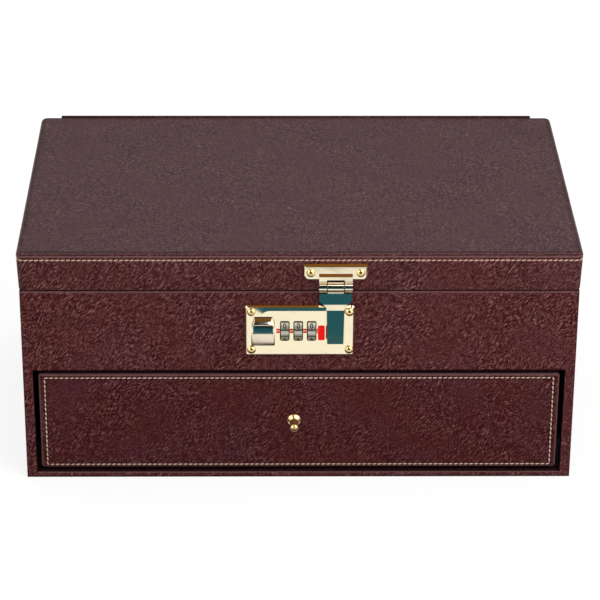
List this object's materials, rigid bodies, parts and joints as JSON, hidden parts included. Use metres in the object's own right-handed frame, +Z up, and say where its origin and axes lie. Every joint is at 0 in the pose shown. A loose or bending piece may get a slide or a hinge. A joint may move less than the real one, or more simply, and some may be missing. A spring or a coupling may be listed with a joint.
{
  "type": "watch box with drawer",
  "caption": "Leather-covered watch box with a hinged lid over cushioned watch slots, a drawer below and a dial hasp lock on the front.",
  "frame": {"origin": "centre of the flat underside of the box", "axes": "+X along the width to the right as seen from the front, +Y from the front to the back, +Z up out of the underside"},
  "size_m": [0.3326, 0.2228, 0.1511],
  "materials": {
    "case_leather": "dark burgundy grained leather, semi-matt",
    "spine_leather": "dark burgundy leather strip",
    "board": "fibreboard, cut edges",
    "wrapped_board": "fibreboard wrapped in brown microsuede",
    "base_felt": "black felt",
    "suede_lining": "brown microsuede",
    "cushion_suede": "tan-brown microsuede over foam",
    "gold_plate": "polished pale gold plating",
    "brass": "polished brass",
    "steel": "plain steel",
    "nickel": "polished nickel, warm",
    "red_enamel": "bright red paint"
  },
  "bodies": {
    "root": {"base_felt": "base_felt", "bottom_board": "board", "left_side_board": "board", "right_side_board": "board", "back_board": "board", "front_board": "board", "lock_backing_board": "board", "shelf_board": "board", "body_leather": "case_leather", "bay_lining": "base_felt", "drawer_runners": "base_felt", "tray_lining": "suede_lining", "long_divider": "wrapped_board", "cross_dividers": "wrapped_board", "watch_cushion_1": "cushion_suede", "watch_cushion_2": "cushion_suede", "watch_cushion_3": "cushion_suede", "watch_cushion_4": "cushion_suede", "watch_cushion_5": "cushion_suede", "watch_cushion_6": "cushion_suede", "watch_cushion_7": "cushion_suede", "watch_cushion_8": "cushion_suede", "watch_cushion_9": "cushion_suede", "watch_cushion_10": "cushion_suede", "watch_cushion_11": "cushion_suede", "watch_cushion_12": "cushion_suede", "body_spine_flap": "spine_leather", "lock_plate": "gold_plate", "lock_rivets": "brass", "lock_case": "steel", "dial_spindle": "steel"},
    "lid": {"lid_board": "board", "lid_long_rails": "board", "lid_end_rails": "board", "lid_leather": "case_leather", "lid_lining": "suede_lining", "lid_spine_flap": "spine_leather", "hasp_plate": "gold_plate", "hasp_rivets": "brass", "hasp_pin": "steel"},
    "hasp": {"hasp_leaf": "gold_plate", "hasp_staple": "steel"},
    "drawer": {"drawer_front_board": "board", "drawer_front_leather": "case_leather", "drawer_sides": "wrapped_board", "drawer_back": "wrapped_board", "drawer_bottom": "wrapped_board", "drawer_lining": "suede_lining", "knob": "brass", "knob_screw": "steel"},
    "dial_1": {"dial_wheel_1": "nickel", "code_cam_1": "steel"},
    "dial_2": {"dial_wheel_2": "nickel", "code_cam_2": "steel"},
    "dial_3": {"dial_wheel_3": "nickel", "code_cam_3": "steel"},
    "thumb_slide": {"thumb_button": "gold_plate", "lock_bolt": "steel"},
    "change_tab": {"change_tab": "red_enamel"}
  },
  "joints": [
    {"name": "lid_hinge", "type": "hinge", "parent": "root", "child": "lid", "pos_m": [0, 0.1046, 0.12595], "axis": [-1, 0, 0], "range_deg": [0, 105]},
    {"name": "hasp_hinge", "type": "hinge", "parent": "lid", "child": "hasp", "pos_m": [0.02105, -0.10838, 0.1308], "axis": [-1, 0, 0], "range_deg": [0, 140]},
    {"name": "drawer_slide", "type": "slide", "parent": "root", "child": "drawer", "axis": [0, -1, 0], "range_m": [0, 0.15]},
    {"name": "dial_1_spin", "type": "hinge", "parent": "root", "child": "dial_1", "pos_m": [-0.0088, -0.1011, 0.10085], "axis": [1, 0, 0], "continuous": true},
    {"name": "dial_2_spin", "type": "hinge", "parent": "root", "child": "dial_2", "pos_m": [-0.00085, -0.1011, 0.10085], "axis": [1, 0, 0], "continuous": true},
    {"name": "dial_3_spin", "type": "hinge", "parent": "root", "child": "dial_3", "pos_m": [0.0071, -0.1011, 0.10085], "axis": [1, 0, 0], "continuous": true},
    {"name": "thumb_slide_travel", "type": "slide", "parent": "root", "child": "thumb_slide", "axis": [1, 0, 0], "range_m": [0, 0.003]},
    {"name": "change_tab_travel", "type": "slide", "parent": "root", "child": "change_tab", "axis": [0, 0, 1], "range_m": [0, 0.002]}
  ]
}
